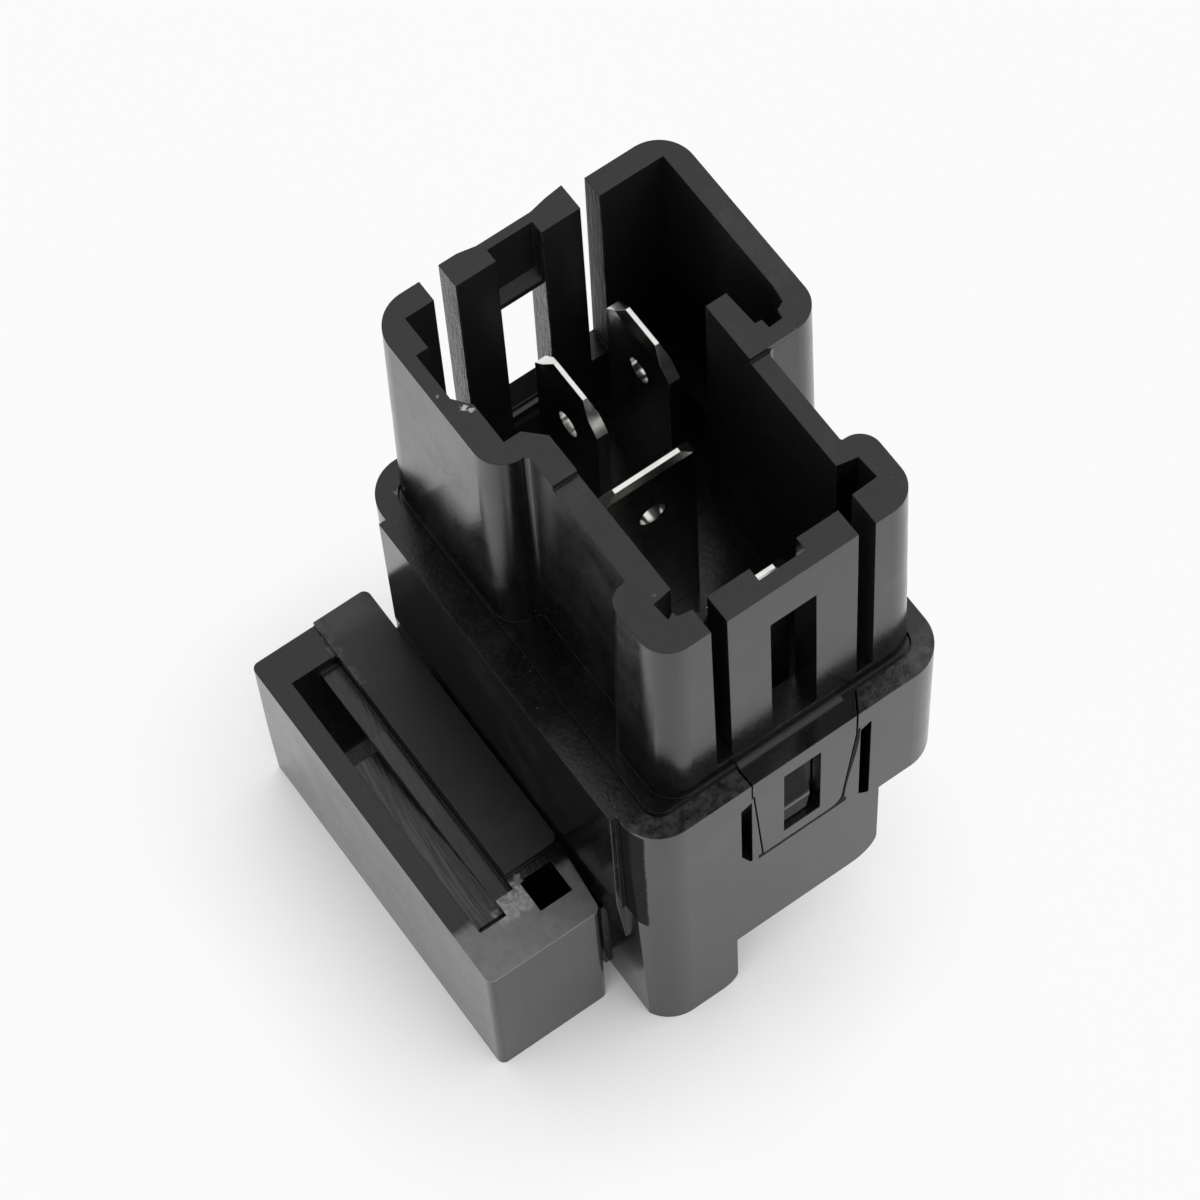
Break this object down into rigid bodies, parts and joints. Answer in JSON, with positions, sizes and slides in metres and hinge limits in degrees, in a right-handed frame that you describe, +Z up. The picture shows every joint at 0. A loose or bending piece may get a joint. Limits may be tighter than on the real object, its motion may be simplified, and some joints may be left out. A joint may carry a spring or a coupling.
{
  "type": "automotive relay",
  "caption": "Plug-in automotive relay: black stepped case, keyed socket shroud around flat blades, side bracket with a slot that slides over a mounting tongue.",
  "frame": {"origin": "middle of the footprint, at the level of the lowest face of the case and bracket", "axes": "+Z up along the blades, out of the socket; -Y the front face with the snap joint that the picture shows; -X the side that carries the bracket"},
  "size_m": [0.033, 0.0306, 0.049],
  "materials": {
    "cover": "black moulded plastic, satin",
    "base_housing": "black moulded plastic, satin",
    "coil_terminal_a": "tin-plated brass",
    "coil_terminal_b": "tin-plated brass",
    "common_terminal": "tin-plated brass",
    "load_terminal": "tin-plated brass",
    "bobbin": "natural glass-filled plastic",
    "coil_winding": "enamelled copper wire",
    "coil_tape": "yellow insulating tape",
    "core": "zinc-plated soft iron",
    "yoke": "zinc-plated soft iron",
    "armature": "zinc-plated soft iron",
    "contact_leaf": "copper alloy spring strip",
    "leaf_rivets": "plain brass",
    "moving_contact": "silver alloy",
    "fixed_contact": "silver alloy",
    "return_spring": "spring steel wire",
    "backstop": "tin-plated brass",
    "coil_lead_a": "enamelled copper wire",
    "coil_lead_b": "enamelled copper wire",
    "suppression_resistor": "lacquered ceramic",
    "resistor_leads": "tinned copper wire"
  },
  "bodies": {
    "relay_body": {"cover": "cover", "base_housing": "base_housing", "coil_terminal_a": "coil_terminal_a", "coil_terminal_b": "coil_terminal_b", "common_terminal": "common_terminal", "load_terminal": "load_terminal", "bobbin": "bobbin", "coil_winding": "coil_winding", "coil_tape": "coil_tape", "core": "core", "yoke": "yoke", "fixed_contact": "fixed_contact", "return_spring": "return_spring", "backstop": "backstop", "coil_lead_a": "coil_lead_a", "coil_lead_b": "coil_lead_b", "suppression_resistor": "suppression_resistor", "resistor_leads": "resistor_leads"},
    "armature_assembly": {"armature": "armature", "contact_leaf": "contact_leaf", "leaf_rivets": "leaf_rivets", "moving_contact": "moving_contact"}
  },
  "joints": [
    {"name": "armature_hinge", "type": "hinge", "parent": "relay_body", "child": "armature_assembly", "pos_m": [0.00134, 0.0033, 0.0116], "axis": [-1, 0, 0], "range_deg": [0, 3.4], "stiffness_Nm_per_rad": 0.0025, "springref_deg": -51.57, "deforming": ["return_spring"]}
  ]
}
